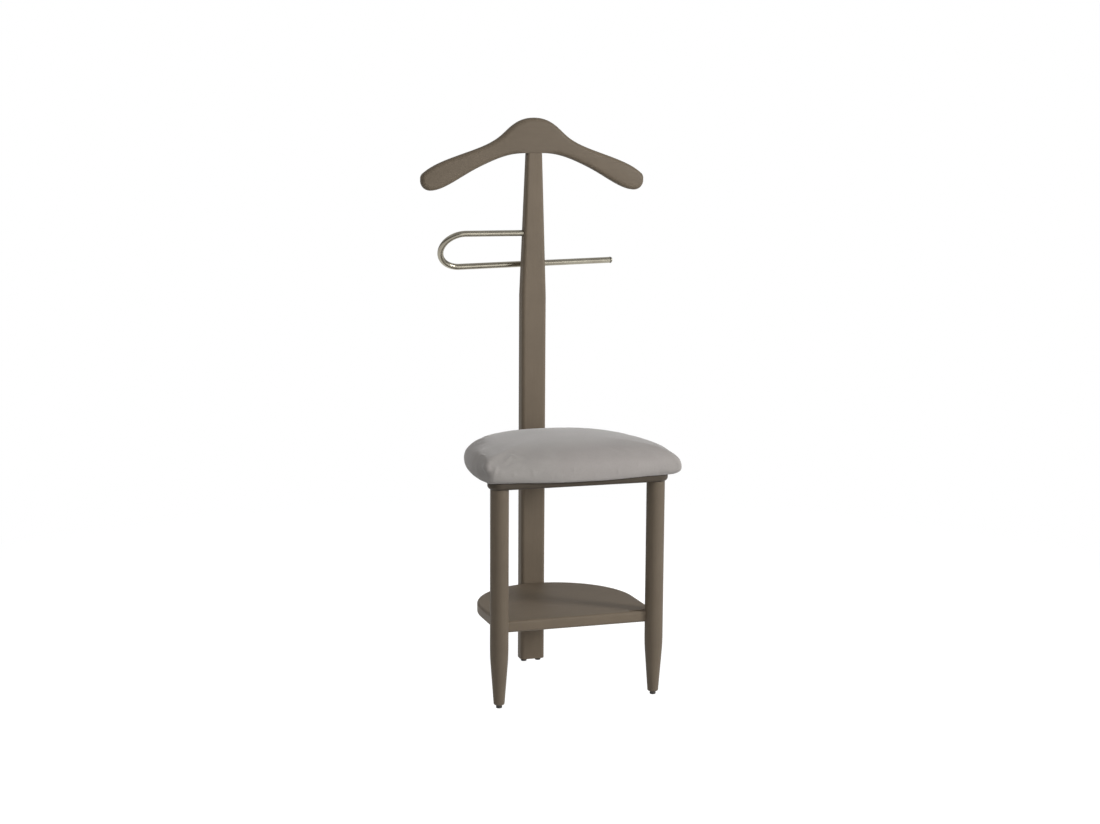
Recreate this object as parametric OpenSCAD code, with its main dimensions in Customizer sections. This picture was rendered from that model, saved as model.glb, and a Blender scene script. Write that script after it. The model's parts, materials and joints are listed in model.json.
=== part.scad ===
// Clothes valet chair: an upholstered seat on two turned front legs and one flat rear post,
// with a shaped coat hanger on top of the post, a bent trouser bar and a low shoe shelf.
// Millimetres. +Z is up, +Y is towards the back, and the front legs' centre line is the
// reference from which depths are given. The origin is the middle of the footprint, on the floor.

/* [Overall] */
// Height of the hanger's crown above the floor
total_h = 1100; // [1060:1:1160]
// Depth from the front legs' centre line to the post's front face
post_setback = 277; // [255:1:300]

/* [Front legs] */
// Diameter of the straight part of a front leg
leg_d = 35; // [30:0.5:38]
// Distance between the two front legs' centre lines
leg_spacing = 310; // [280:1:330]
// Diameter of a front leg's tip
leg_tip_d = 20.6; // [18:0.1:26]
// Height above the floor at which the taper ends and the leg becomes straight
leg_taper_top = 118; // [90:1:135]
// Length over which the taper blends into the straight part
leg_blend = 34; // [16:1:50]
// Radius of the leg tip's lower edge
leg_tip_r = 2.5; // [1:0.1:4]

/* [Rear post] */
// Width of the post below its taper
post_w = 50; // [44:0.5:60]
// Thickness of the post below its taper
post_t = 30; // [28:0.5:36]
// Width of the post where it meets the hanger
post_top_w = 30.4; // [26:0.2:36]
// Thickness of the post where it meets the hanger
post_top_t = 22; // [20:0.2:26]
// Length of the tapered part, measured down from the top of the post
post_taper_l = 281; // [230:1:390]
// Radius of the post's long edges
post_edge_r = 7; // [3:0.5:9]
// Radius of the long edges at the top of the post
post_top_edge_r = 5; // [2:0.5:8]

/* [Hanger] */
// Width of the hanger over both tips
hanger_w = 460; // [420:1:500]
// Thickness of the hanger
hanger_t = 22; // [20:0.2:26]
// Height of the hanger at its middle, from its arched underside to the crown
crown_h = 69; // [60:1:80]
// Distance of the steepest part of the shoulder from the middle
shoulder_x = 64.6; // [56:0.2:72]
// Drop of the steepest part of the shoulder below the crown
shoulder_drop = 32.8; // [27:0.2:38]
// Slope of the shoulder at its steepest part, in degrees
shoulder_slope = 41; // [35:0.5:46]
// Distance of the upper arm's guide point from the middle
arm_x = 152; // [140:1:165]
// Drop of the upper arm's guide point below the crown
arm_drop = 72.8; // [66:0.2:80]
// Slope of the upper arm, in degrees
arm_slope = 19; // [14:0.5:24]
// Distance of the lower arm's guide point from the middle
under_x = 111.6; // [100:0.2:125]
// Drop of the lower arm's guide point below the crown
under_drop = 95.8; // [90:0.2:103]
// Slope of the lower arm, in degrees
under_slope = 25.3; // [20:0.1:30]
// Drop of the centres of the tips' lower corners below the crown
tip_drop = 122.5; // [114:0.5:130]
// Radius of the tips' lower corners
tip_r = 19; // [14:0.5:21]
// Radius of the tips' upper corners
tip_corner_r = 13; // [10:0.5:18]
// Height of the upper corners' centres above those of the lower ones
tip_corner_rise = 4.5; // [2:0.5:8]
// Radius of the hanger's rounded long edges
hanger_edge_r = 9; // [5:0.5:9.5]

/* [Trouser bar] */
// Outer diameter of the tube
bar_d = 12; // [10:0.5:14]
// Wall thickness of the tube
bar_wall = 1.2; // [0.8:0.1:1.6]
// Centreline radius of the bend
bend_r = 44; // [40:0.5:55]
// Drop of the upper run's centreline below the hanger's crown
bar_drop = 226; // [180:1:280]
// Backward tilt of the bend's plane, in degrees
bar_tilt = 38.5; // [34:0.5:50]
// Angle by which the lower run closes towards the upper one, in degrees
bar_close = 2.1; // [0:0.1:3]
// Distance from the middle of the post to the outside of the bend
bar_reach = 188; // [170:1:210]
// Length of the lower run
bar_free_len = 316; // [280:1:340]
// Depth to which the upper run is plugged into the post
bar_plug = 22; // [16:0.5:24]
// Diameter of the dark ring at the free end
end_ring_d = 12.8; // [12.6:0.1:15]
// Thickness of the dark ring at the free end
end_ring_t = 1.6; // [1:0.1:3]
// Length of the end cap's head
end_cap_h = 3.6; // [2:0.1:6]
// Length of the end cap's spigot inside the tube
end_cap_plug = 12; // [8:0.5:20]

/* [Seat] */
// Height of the cushion's underside
seat_z = 432.5; // [410:0.5:450]
// Width of the seat rail, front to back
rail_w = 46; // [42:0.5:60]
// Thickness of the seat rail
rail_t = 13; // [12:0.5:22]
// Radius of the seat rail's lower edge
rail_edge_r = 8; // [3:0.5:9]
// Thickness of the board under the upholstery
board_t = 12; // [10:0.5:15]
// Width of the rear cleat
cleat_w = 96; // [84:1:120]
// Depth of the rear cleat, front to back
cleat_d = 52; // [50:1:70]
// Height of the rear cleat
cleat_h = 24; // [22:0.5:34]

/* [Cushion] */
// Greatest width of the cushion
pad_w = 392; // [360:1:410]
// Distance by which the cushion's front stands before the legs' centre line
pad_front = 35; // [24:0.5:45]
// Radius of the cushion's front corners, seen from above
pad_corner_r = 8; // [4:0.5:20]
// Distance by which the cushion's front bows forward between its corners
pad_bow = 6; // [2:0.5:12]
// Roundness of the cushion's back outline, where 2 is an ellipse
pad_power = 3; // [2.4:0.1:3.6]
// Height of the cushion's widest level above its underside
pad_side_h = 20.5; // [17:0.5:26]
// Height of the crown above the widest level
pad_crown_h = 44.5; // [34:0.5:60]
// Fullness of the crown, where 2 is an ellipse
crown_power = 2.55; // [2:0.05:3]
// Distance by which the sides are drawn in at the underside
pad_draw_in = 21.5; // [12:0.5:24]
// Share of that distance by which the middle of the front is drawn in
front_draw_share = 0.14; // [0.1:0.02:0.6]
// Thickness of the upholstery fabric
cover_t = 1.5; // [1:0.1:2.5]
// Width of the fabric turned in under the board
hem_w = 25; // [18:1:35]
// Thickness of the dust cover
dust_t = 0.8; // [0.5:0.1:1]

/* [Shelf] */
// Height of the shelf's top
shelf_z = 166; // [150:1:260]
// Thickness of the shelf
shelf_t = 22; // [18:0.5:25]
// Distance by which the shelf's sides stand outside the legs' centre lines
shelf_side = 2; // [1:0.5:10]
// Distance by which the shelf's front edge stands before the legs' centre line
shelf_front = 2; // [0:0.5:8]
// Radius of the shelf's upper and lower edges
shelf_edge_r = 5; // [2:0.5:8]
// Length of the slot beside the right leg
slot_len = 32; // [24:1:45]
// Width of the slot beside the right leg
slot_w = 7; // [5:0.5:10]
// Distance from the shelf's front edge to the slot's centre line
slot_back = 8.5; // [7:0.5:12]

/* [Feet] */
// Height of a foot's pad
foot_h = 6.5; // [5:0.5:10]
// Diameter of a foot's pad at the floor
foot_d = 12; // [10:0.5:15]
// Diameter of a foot's pad at its top
foot_top_d = 11; // [9:0.5:14]
// Distance between the two rear feet
rear_foot_spacing = 30; // [24:0.5:32]
// Diameter of a foot's threaded stem
stem_d = 6; // [5:0.5:7]
// Length of a foot's threaded stem
stem_l = 20; // [17:0.5:26]
// Outer diameter of the threaded insert that a stem screws into
insert_d = 9; // [8.5:0.5:11]
// Length of a foot's threaded insert
insert_l = 13; // [10:0.5:15]
// Travel by which a foot screws out to level the chair
foot_travel = 8; // [4:0.5:9]

/* [Fixings] */
// Diameter of the bolts through the post
bolt_d = 6; // [5:0.5:7]
// Distance between the two bolts of a pair
bolt_spacing = 20; // [18:0.5:24]
// Diameter of the bolts' heads
bolt_head_d = 14; // [12:0.5:15]
// Height of the bolts' heads
bolt_head_h = 2.4; // [1.5:0.1:4]
// Width across the corners of the heads' hexagon sockets
socket_d = 4.6; // [3.5:0.1:5]
// Length of the sleeve that each bolt screws into
sleeve_l = 18; // [12:0.5:20]
// Diameter of the wood screws' shanks
screw_d = 4.5; // [3.5:0.5:5.5]
// Diameter of the wood screws' heads
screw_head_d = 9; // [8:0.5:11]
// Length of a wood screw inside the last piece that it enters
screw_bite = 9; // [6:0.5:9.5]
// Length of the screws that go down into the legs
leg_screw_l = 50; // [35:1:70]
// Distance of the front seat screws from the middle
seat_screw_x = 100; // [60:1:115]
// Distance of the rear seat screws from the middle
cleat_screw_x = 34; // [28:1:36]
// Diameter of the wooden dowels
dowel_d = 8; // [6:0.5:8]
// Length of the dowels between the legs and the shelf
shelf_dowel_l = 34; // [30:1:40]
// Diameter of the dowels in the top of the post
hanger_dowel_d = 6; // [5:0.5:7]
// Length of the dowels in the top of the post
hanger_dowel_l = 40; // [30:1:60]
// Distance between the dowels in the top of the post
hanger_dowel_spacing = 14; // [12:0.5:16]
// Diameter of the screw that locks the trouser bar
lock_screw_d = 3.5; // [3:0.5:4]

/* [Clearances] */
// Radial clearance round screws, bolts and dowels, and round the trouser bar's plugged end
fit_gap = 0.1; // [0.05:0.05:0.2]
// Radial clearance of a foot's stem in its insert
thread_gap = 0.05; // [0.02:0.01:0.08]
// Space left between soft pieces and what they touch
soft_gap = 0.3; // [0.2:0.1:0.5]

/* [Hidden] */

$fn = 64;
// A hair's breadth, so that a cutting tool passes the face it cuts.
cut = 0.5;
// Sides of the round shapes inside a blended solid.
blend_fn = 32;

wood = "#766b5e";
fabric_grey = "#8f8a85";
steel = "silver";
nickel = "#cbc3b2";
dark = "#26241f";
zinc = "gainsboro";
beech = "burlywood";
foam_cream = "cornsilk";

// Places that follow from the sizes above.
leg_x = leg_spacing / 2;
leg_top_z = seat_z - rail_t;
post_back = post_setback + post_t;
post_mid = post_setback + post_t / 2;
post_top_z = total_h - crown_h;
post_taper_z = post_top_z - post_taper_l;
bar_h = total_h - bar_drop;
post_top_mid = post_setback + post_top_t / 2;
hanger_mid = post_setback + hanger_t / 2;
board_z = seat_z + cover_t;
foot_x = rear_foot_spacing / 2;
shelf_w = leg_spacing + 2 * shelf_side;

// Share of the post's taper that is done at height z, and the post's size there.
function taper_at(z) = max(0, min(1, (z - post_taper_z) / (post_top_z - post_taper_z)));
function post_w_at(z) = post_w + (post_top_w - post_w) * taper_at(z);
function post_t_at(z) = post_t + (post_top_t - post_t) * taper_at(z);

// The trouser bar: where it enters the post, and the centre of its bend.
bar_y = post_setback + post_t_at(bar_h) / 2;
bar_side_x = -post_w_at(bar_h) / 2;
bend_x = -(bar_reach - bend_r - bar_d / 2);
bend_y = bar_y + bend_r * sin(bar_tilt);
bend_z = bar_h - bend_r * cos(bar_tilt);
bar_back = bend_y + bend_r * sin(bar_tilt) + bar_d / 2;

// The footprint's middle, so that the whole chair is centred over the origin.
middle_y = (bar_back - pad_front) / 2;

module place()
    translate([0, -middle_y, 0])
        children();

// Copies of a piece to the left and the right of the middle plane.
module both_sides(x)
    for (side = [-1, 1])
        translate([side * x, 0, 0])
            children();

// ---------- Hanger ----------

function bezier(a, b, c, d, t) =
    pow(1 - t, 3) * a + 3 * t * pow(1 - t, 2) * b + 3 * t * t * (1 - t) * c + t * t * t * d;

// Points along a curve that leaves p heading at angle p_dir and reaches q heading at q_dir.
// reach_p and reach_q say how far each direction is held, as a share of the distance.
function sweep(p, p_dir, q, q_dir, reach_p, reach_q, steps) =
    let (d = norm(q - p))
    let (b = p + reach_p * d * [cos(p_dir), sin(p_dir)])
    let (c = q - reach_q * d * [cos(q_dir), sin(q_dir)])
    [for (i = [0:steps - 1]) bezier(p, b, c, q, i / steps)];

function arc(centre, r, from, to, steps) =
    [for (i = [0:steps - 1])
        let (a = from + (to - from) * i / steps)
        centre + r * [cos(a), sin(a)]];

// Half of the hanger's outline in the X-Z plane, from the crown to the arched underside.
crown_pt = [0, total_h];
shoulder_pt = [shoulder_x, total_h - shoulder_drop];
arm_pt = [arm_x, total_h - arm_drop];
tip_pt = [hanger_w / 2 - tip_r, total_h - tip_drop];
corner_pt = [hanger_w / 2 - tip_corner_r, total_h - tip_drop + tip_corner_rise];
tip_start = 50;
tip_top_pt = corner_pt + tip_corner_r * [cos(tip_start), sin(tip_start)];
tip_low_pt = tip_pt - [0, tip_r];
under_pt = [under_x, total_h - under_drop];
neck_pt = [post_top_w / 2, post_top_z];

half_outline = concat(
    sweep(crown_pt, 0, shoulder_pt, -shoulder_slope, 0.45, 0.3, 8),
    sweep(shoulder_pt, -shoulder_slope, arm_pt, -arm_slope, 0.3, 0.4, 7),
    sweep(arm_pt, -arm_slope, tip_top_pt, tip_start - 90, 0.4, 0.3, 7),
    arc(corner_pt, tip_corner_r, tip_start, 0, 4),
    arc(tip_pt, tip_r, 0, -90, 6),
    sweep(tip_low_pt, 180, under_pt, 180 - under_slope, 0.25, 0.4, 7),
    sweep(under_pt, 180 - under_slope, neck_pt, 180, 0.4, 0.35, 7),
    [neck_pt]
);
half_count = len(half_outline);
hanger_outline = concat(
    half_outline,
    [for (i = [half_count - 1:-1:1]) [-half_outline[i].x, half_outline[i].y]]
);
hanger_count = len(hanger_outline);

// Outward direction of the outline at point i, and how far the edge is rounded there.
// The rounding dies away along the underside, so that the post gets a full flat seat.
function hanger_normal(i) =
    let (before = hanger_outline[(i + hanger_count - 1) % hanger_count])
    let (after = hanger_outline[(i + 1) % hanger_count])
    let (d = after - before)
    [-d.y, d.x] / norm(d);
seat_fade = 30;
seat_edge_r = 0.6;
function on_underside(p) = p.y < post_top_z + 1 && abs(p.x) < under_x;
function seat_share(p) = max(0, min(1, (abs(p.x) - post_top_w / 2) / seat_fade));
function edge_r_at(p) =
    on_underside(p) ? seat_edge_r + (hanger_edge_r - seat_edge_r) * seat_share(p) : hanger_edge_r;

// One ring of the hanger's skin: from 0 at the front face to 180 at the back face.
function hanger_ring(a) =
    [for (i = [0:hanger_count - 1])
        let (p = hanger_outline[i])
        let (r = edge_r_at(p))
        let (q = p - r * (1 - sin(a)) * hanger_normal(i))
        let (y = (hanger_t / 2 - r) * (a < 90 ? -1 : 1) - r * cos(a))
        [q.x, hanger_mid + y, q.y]];

hanger_steps = concat([for (i = [0:4]) i * 22.5], [for (i = [4:8]) i * 22.5 + 0.001]);

// A closed skin over a stack of rings that all have the same number of points.
module skin(rings) {
    n = len(rings[0]);
    last = len(rings) - 1;
    sides = [
        for (k = [0:last - 1], i = [0:n - 1])
            let (j = (i + 1) % n)
            [k * n + i, (k + 1) * n + i, (k + 1) * n + j, k * n + j]
    ];
    ends = [
        [for (i = [0:n - 1]) i],
        [for (i = [n - 1:-1:0]) last * n + i]
    ];
    polyhedron(
        points = [for (ring = rings, p = ring) p],
        faces = concat(sides, ends),
        convexity = 8
    );
}

module dowel(d, l)
    translate([0, 0, -l / 2])
        cylinder(d = d, h = l);

module hanger_dowel_places()
    translate([0, post_top_mid, post_top_z])
        both_sides(hanger_dowel_spacing / 2)
            children();

module hanger()
    color(wood)
        place()
            difference() {
                skin([for (a = hanger_steps) hanger_ring(a)]);
                hanger_dowel_places()
                    dowel(hanger_dowel_d + 2 * fit_gap, hanger_dowel_l + 2);
            }

module hanger_dowels()
    color(beech)
        place()
            hanger_dowel_places()
                dowel(hanger_dowel_d, hanger_dowel_l);

// ---------- Rear post ----------

// A thin slice of the post at height z, with its four long edges rounded.
module post_slice(w, t, r, z) {
    thickness = 0.01;
    for (x = [r - w / 2, w / 2 - r], y = [r, t - r])
        translate([x, post_setback + y, z])
            cylinder(r = r, h = thickness, $fn = blend_fn);
}

// Straight up to the taper, and from there narrower and thinner up to the hanger.
module post_blank()
    hull() {
        post_slice(post_w, post_t, post_edge_r, foot_h);
        post_slice(post_w, post_t, post_edge_r, post_taper_z);
        post_slice(post_top_w, post_top_t, post_top_edge_r, post_top_z - 0.01);
    }

// A round bar along +Y from the post's front side to its back side, and beyond by l.
module through_post(d, front, back)
    translate([0, back, 0])
        rotate([90, 0, 0])
            cylinder(d = d, h = back - front);

// The four bolts' axes: two for the shelf and two for the rear cleat.
shelf_bolt_z = shelf_z - shelf_t / 2;
cleat_bolt_z = seat_z - cleat_h / 2;
module bolt_places()
    for (z = [shelf_bolt_z, cleat_bolt_z])
        translate([0, 0, z])
            both_sides(bolt_spacing / 2)
                children();

module post()
    color(wood)
        place()
            difference() {
                post_blank();
                bolt_places()
                    through_post(bolt_d + 2 * fit_gap, post_setback - cut, post_back + cut);
                bar_in_plane()
                    on_upper_run()
                        cylinder(d = bar_d + 2 * fit_gap, h = upper_len + 0.4);
                lock_screw(2 * fit_gap);
                hanger_dowel_places()
                    dowel(hanger_dowel_d + 2 * fit_gap, hanger_dowel_l + 2);
                rear_foot_places()
                    insert_hole();
            }

// A bolt's shank ends inside its sleeve, a little short of the sleeve's inner end.
bolt_end = post_setback - sleeve_l + 2;

module post_bolts()
    color(steel)
        place()
            bolt_places()
                difference() {
                    union() {
                        through_post(bolt_d, bolt_end, post_back + cut);
                        translate([0, post_back, 0])
                            rotate([-90, 0, 0])
                                bolt_head();
                    }
                    translate([0, post_back + bolt_head_h + cut, 0])
                        rotate([90, 0, 0])
                            cylinder(d = socket_d, h = bolt_head_h + cut, $fn = 6);
                }

// A flat head with a small bevel round its outer edge.
module bolt_head() {
    bevel = 0.8;
    rotate_extrude()
        polygon([
            [0, 0],
            [bolt_head_d / 2, 0],
            [bolt_head_d / 2, bolt_head_h - bevel],
            [bolt_head_d / 2 - bevel, bolt_head_h],
            [0, bolt_head_h]
        ]);
}

module sleeve_hole()
    through_post(insert_d + 2 * fit_gap, post_setback - sleeve_l - cut, post_setback + cut);

module bolt_sleeves()
    color(zinc)
        place()
            bolt_places()
                difference() {
                    through_post(insert_d, post_setback - sleeve_l, post_setback);
                    through_post(bolt_d + 2 * fit_gap, post_setback - sleeve_l - cut, post_setback + cut);
                }

// ---------- Trouser bar ----------

// Turns a drawing in the X-Y plane into the plane of the bend, about the bend's centre.
module bar_in_plane()
    translate([bend_x, bend_y, bend_z])
        rotate([bar_tilt + 90, 0, 0])
            children();

// The upper run's axis, along +X from the bend to the plugged end in the post.
upper_len = bar_side_x - bend_x + bar_plug;
module on_upper_run()
    translate([0, bend_r, 0])
        rotate([0, 90, 0])
            children();

// Carries a piece drawn along +Z to the lower run's axis, at a distance from the bend.
module on_lower_run(x)
    rotate([0, 0, bar_close])
        translate([x, -bend_r, 0])
            rotate([0, 90, 0])
                children();

// A straight stretch reaches a little way into the bend, whose wall is a hair thinner.
bend_overlap = 1;
bend_thinning = 0.05;
module straight_tube(l)
    translate([0, 0, -bend_overlap])
        difference() {
            cylinder(d = bar_d, h = l + bend_overlap);
            translate([0, 0, -cut])
                cylinder(d = bar_d - 2 * bar_wall, h = l + bend_overlap + 2 * cut);
        }

module bent_tube()
    rotate([0, 0, 90])
        rotate_extrude(angle = 180 + bar_close)
            translate([bend_r, 0])
                difference() {
                    circle(d = bar_d - 2 * bend_thinning);
                    circle(d = bar_d - 2 * (bar_wall - bend_thinning));
                }

module trouser_bar()
    color(nickel)
        place()
            difference() {
                bar_in_plane() {
                    on_upper_run()
                        straight_tube(upper_len);
                    bent_tube();
                    on_lower_run(0)
                        straight_tube(bar_free_len);
                }
                lock_screw(2 * fit_gap);
            }

module bar_end_ring()
    color(dark)
        place()
            bar_in_plane()
                on_lower_run(bar_free_len)
                    difference() {
                        cylinder(d = end_ring_d, h = end_ring_t);
                        translate([0, 0, -cut])
                            cylinder(d = bar_d - 2 * bar_wall, h = end_ring_t + 2 * cut);
                    }

// The cap's head is a low dome; its spigot passes the ring and grips inside the tube.
module bar_end_cap() {
    spigot_r = bar_d / 2 - bar_wall - fit_gap;
    head_r = bar_d / 2 - 0.3;
    rim = 1.2;
    dome_steps = 8;
    dome = [
        for (i = [0:dome_steps])
            [head_r * cos(90 * i / dome_steps), rim + (end_cap_h - rim) * sin(90 * i / dome_steps)]
    ];
    color(nickel)
        place()
            bar_in_plane()
                on_lower_run(bar_free_len + end_ring_t) {
                    rotate_extrude()
                        polygon(concat([[0, 0], [head_r, 0]], dome));
                    translate([0, 0, -end_cap_plug])
                        cylinder(r = spigot_r, h = end_cap_plug + 0.1);
                }
}

// The lock screw goes in from the post's back and ends in the middle of the plugged tube.
// extra widens it on every side, for the hole it makes.
module lock_screw(extra = 0) {
    head_d = 2 * lock_screw_d;
    back = post_setback + post_t_at(bar_h) - 0.2;
    translate([bar_side_x + bar_plug / 2, back, bar_h])
        rotate([90, 0, 0]) {
            cylinder(d = lock_screw_d + extra, h = back - bar_y + extra / 2);
            cylinder(d1 = head_d + extra, d2 = lock_screw_d + extra, h = lock_screw_d / 2);
            if (extra > 0)
                translate([0, 0, -2])
                    cylinder(d = head_d + extra, h = 2.01);
        }
}

module bar_lock_screw()
    color(steel)
        place()
            lock_screw();

// ---------- Cushion ----------

// The cushion's outline, seen from above, with every side moved in by inset.
pad_back = post_setback - soft_gap;
pad_mid_y = (pad_back - pad_front) / 2;
back_steps = 30;
corner_steps = 3;
front_steps = 8;

function power_curve(v, p) = sign(v) * pow(abs(v), 2 / p);

function pad_outline(inset) =
    let (half = pad_w / 2 - inset)
    let (front = inset - pad_front)
    let (start = front + pad_bow + pad_corner_r)
    let (depth = pad_back - inset - start)
    concat(
        [for (i = [0:back_steps])
            let (a = 180 * i / back_steps)
            [half * power_curve(cos(a), pad_power), start + depth * power_curve(sin(a), pad_power)]],
        arc([pad_corner_r - half, start], pad_corner_r, 180 + 90 / corner_steps, 270, corner_steps - 1),
        [for (i = [0:front_steps])
            let (u = 2 * i / front_steps - 1)
            [u * (half - pad_corner_r), front + pad_bow * u * u]],
        arc([half - pad_corner_r, start], pad_corner_r, 270 + 90 / corner_steps, 360, corner_steps - 1)
    );

// One level of the cushion: its outline drawn in by a distance, or shrunk by a share.
// The middle of the front is drawn in less than the sides, so that it overhangs the rail.
function draw_share(p) =
    let (u = p.x / (pad_w / 2 - pad_corner_r))
    p.y > 0 ? 1 : min(1, front_draw_share + (1 - front_draw_share) * u * u);
function drawn_in(outline, by, z) =
    [for (p = outline)
        let (v = p - [0, pad_mid_y])
        let (q = v * (1 - by * draw_share(p) / norm(v)))
        [q.x, q.y + pad_mid_y, z]];
function shrunk(outline, share, z) =
    [for (p = outline) [p.x * share, pad_mid_y + (p.y - pad_mid_y) * share, z]];

side_steps = 4;
crown_steps = 8;

// The stuffed form: sides drawn in towards the underside, and a full crown above.
module pad_form(inset) {
    outline = pad_outline(inset);
    wide_z = seat_z + pad_side_h;
    top = pad_crown_h - inset;
    skin(concat(
        [for (i = [side_steps:-1:1])
            let (a = 90 * i / side_steps)
            drawn_in(outline, pad_draw_in * (1 - cos(a)), wide_z - pad_side_h * sin(a))],
        [for (i = [0:crown_steps])
            let (a = 88.5 * i / crown_steps)
            let (rise = top * power_curve(sin(a), crown_power))
            shrunk(outline, power_curve(cos(a), crown_power), wide_z + rise)]
    ));
}

board_inset = pad_draw_in + cover_t + 1;
hem_inset = pad_draw_in + hem_w;

module pad_plate(inset, z, t)
    translate([0, 0, z])
        linear_extrude(t)
            polygon(pad_outline(inset));

module seat_cover()
    color(fabric_grey)
        place()
            difference() {
                pad_form(0);
                intersection() {
                    pad_form(cover_t);
                    translate([-pad_w, -pad_w, board_z])
                        cube([2 * pad_w, 2 * pad_w, pad_w]);
                }
                pad_plate(hem_inset, seat_z - cut, cover_t + 2 * cut);
                seat_screw_places()
                    wood_screw(2 * fit_gap);
            }

module seat_foam()
    color(foam_cream)
        place()
            intersection() {
                pad_form(cover_t + soft_gap);
                translate([-pad_w, -pad_w, board_z + board_t])
                    cube([2 * pad_w, 2 * pad_w, pad_w]);
            }

module seat_board()
    color(beech)
        place()
            difference() {
                pad_plate(board_inset, board_z, board_t);
                seat_screw_places()
                    wood_screw(2 * fit_gap);
            }

module dust_cover()
    color(dark)
        place()
            difference() {
                pad_plate(hem_inset + soft_gap, seat_z, dust_t);
                seat_screw_places()
                    wood_screw(2 * fit_gap);
            }

// ---------- Seat rail, cleat and their screws ----------

// Section of the seat rail from its middle line outwards, with a rounded lower edge.
module rail_half_section() {
    half = rail_w / 2;
    top_r = 1;
    edge_r = min(rail_edge_r, rail_t - top_r - 1);
    polygon(concat(
        [[0, 0]],
        arc([half - edge_r, edge_r], edge_r, -90, 0, 8),
        arc([half - top_r, rail_t - top_r], top_r, 0, 90, 3),
        [[half - top_r, rail_t], [0, rail_t]]
    ));
}

module rail_blank() {
    both_sides(leg_x)
        rotate_extrude()
            rail_half_section();
    translate([-leg_x, 0, 0])
        rotate([90, 0, 90])
            linear_extrude(2 * leg_x) {
                rail_half_section();
                mirror([1, 0])
                    rail_half_section();
            }
}

module seat_rail()
    color(wood)
        place()
            difference() {
                translate([0, 0, leg_top_z])
                    rail_blank();
                seat_screw_places()
                    wood_screw(2 * fit_gap);
                leg_screw_places()
                    leg_screw(2 * fit_gap);
            }

module seat_cleat()
    color(wood)
        place()
            difference() {
                translate([-cleat_w / 2, post_setback - cleat_d, seat_z - cleat_h])
                    cube([cleat_w, cleat_d, cleat_h]);
                bolt_places()
                    sleeve_hole();
                seat_screw_places()
                    wood_screw(2 * fit_gap);
            }

// A countersunk wood screw that points down: its head's flat top is at z = 0.
module countersunk(d, head_d, l, extra) {
    translate([0, 0, -l - extra / 2])
        cylinder(d = d + extra, h = l + extra / 2);
    translate([0, 0, -(head_d - d) / 2])
        cylinder(d1 = d + extra, d2 = head_d + extra, h = (head_d - d) / 2);
    if (extra > 0)
        cylinder(d = head_d + extra, h = 1);
}

// The seat's four screws point up: two through the rail and two through the rear cleat.
// The drawn child is given the length of wood below the board as a special variable.
module seat_screw_places() {
    translate([0, 0, leg_top_z])
        both_sides(seat_screw_x)
            let ($below = rail_t)
                children();
    translate([0, post_setback - cleat_d + 12, seat_z - cleat_h])
        both_sides(cleat_screw_x)
            let ($below = cleat_h)
                children();
}

module wood_screw(extra = 0)
    rotate([180, 0, 0])
        countersunk(screw_d, screw_head_d, $below + cover_t + screw_bite, extra);

module seat_screws()
    color(steel)
        place()
            seat_screw_places()
                wood_screw();

// The screws that hold the rail on the legs go down from the rail's top.
module leg_screw_places()
    translate([0, 0, seat_z])
        both_sides(leg_x)
            children();

module leg_screw(extra = 0)
    countersunk(screw_d, screw_head_d, leg_screw_l, extra);

module leg_screws()
    color(steel)
        place()
            leg_screw_places()
                leg_screw();

// ---------- Front legs ----------

// Radius of a front leg at height z: a cone that blends into the straight part.
cone_slope = (leg_d - leg_tip_d) / 2 / (leg_taper_top - leg_blend / 2 - foot_h);
blend_start = leg_taper_top - leg_blend;
function leg_r_at(z) =
    z >= leg_taper_top ? leg_d / 2
    : z <= blend_start ? leg_tip_d / 2 + cone_slope * (z - foot_h)
    : leg_d / 2 - cone_slope * pow(leg_taper_top - z, 2) / (2 * leg_blend);

module leg_blank() {
    blend_steps = 8;
    tip_height = foot_h + leg_tip_r;
    rotate_extrude()
        polygon(concat(
            [[0, foot_h]],
            arc([leg_r_at(tip_height) - leg_tip_r, tip_height], leg_tip_r, -90, 0, 4),
            [[leg_r_at(tip_height), tip_height]],
            [for (i = [0:blend_steps])
                let (z = blend_start + leg_blend * i / blend_steps)
                [leg_r_at(z), z]],
            [[leg_d / 2, leg_top_z], [0, leg_top_z]]
        ));
}

module front_leg()
    difference() {
        leg_blank();
        insert_hole();
        translate([0, 0, seat_z])
            leg_screw(2 * fit_gap);
        shelf_dowel(2 * fit_gap);
    }

module left_leg()
    color(wood)
        place()
            translate([-leg_x, 0, 0])
                mirror([1, 0, 0])
                    front_leg();

module right_leg()
    color(wood)
        place()
            translate([leg_x, 0, 0])
                front_leg();

// ---------- Shelf ----------

// The right leg's dowel runs level from inside the leg, backwards and inwards, into the shelf.
dowel_turn = 120;
module shelf_dowel(extra = 0)
    translate([0, 0, shelf_z - shelf_t / 2])
        rotate([0, 0, dowel_turn])
            translate([leg_d / 2, 0, 0])
                rotate([0, 90, 0])
                    dowel(dowel_d + extra, shelf_dowel_l + extra);

module both_legs() {
    translate([leg_x, 0, 0])
        children();
    translate([-leg_x, 0, 0])
        mirror([1, 0, 0])
            children();
}

module shelf_dowels()
    color(beech)
        place()
            both_legs()
                shelf_dowel();

// Section of the shelf from its middle line outwards, with rounded edges.
module shelf_half_section(half)
    polygon(concat(
        [[0, 0]],
        arc([half - shelf_edge_r, shelf_edge_r], shelf_edge_r, -90, 0, 6),
        arc([half - shelf_edge_r, shelf_t - shelf_edge_r], shelf_edge_r, 0, 90, 6),
        [[half - shelf_edge_r, shelf_t], [0, shelf_t]]
    ));

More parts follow.
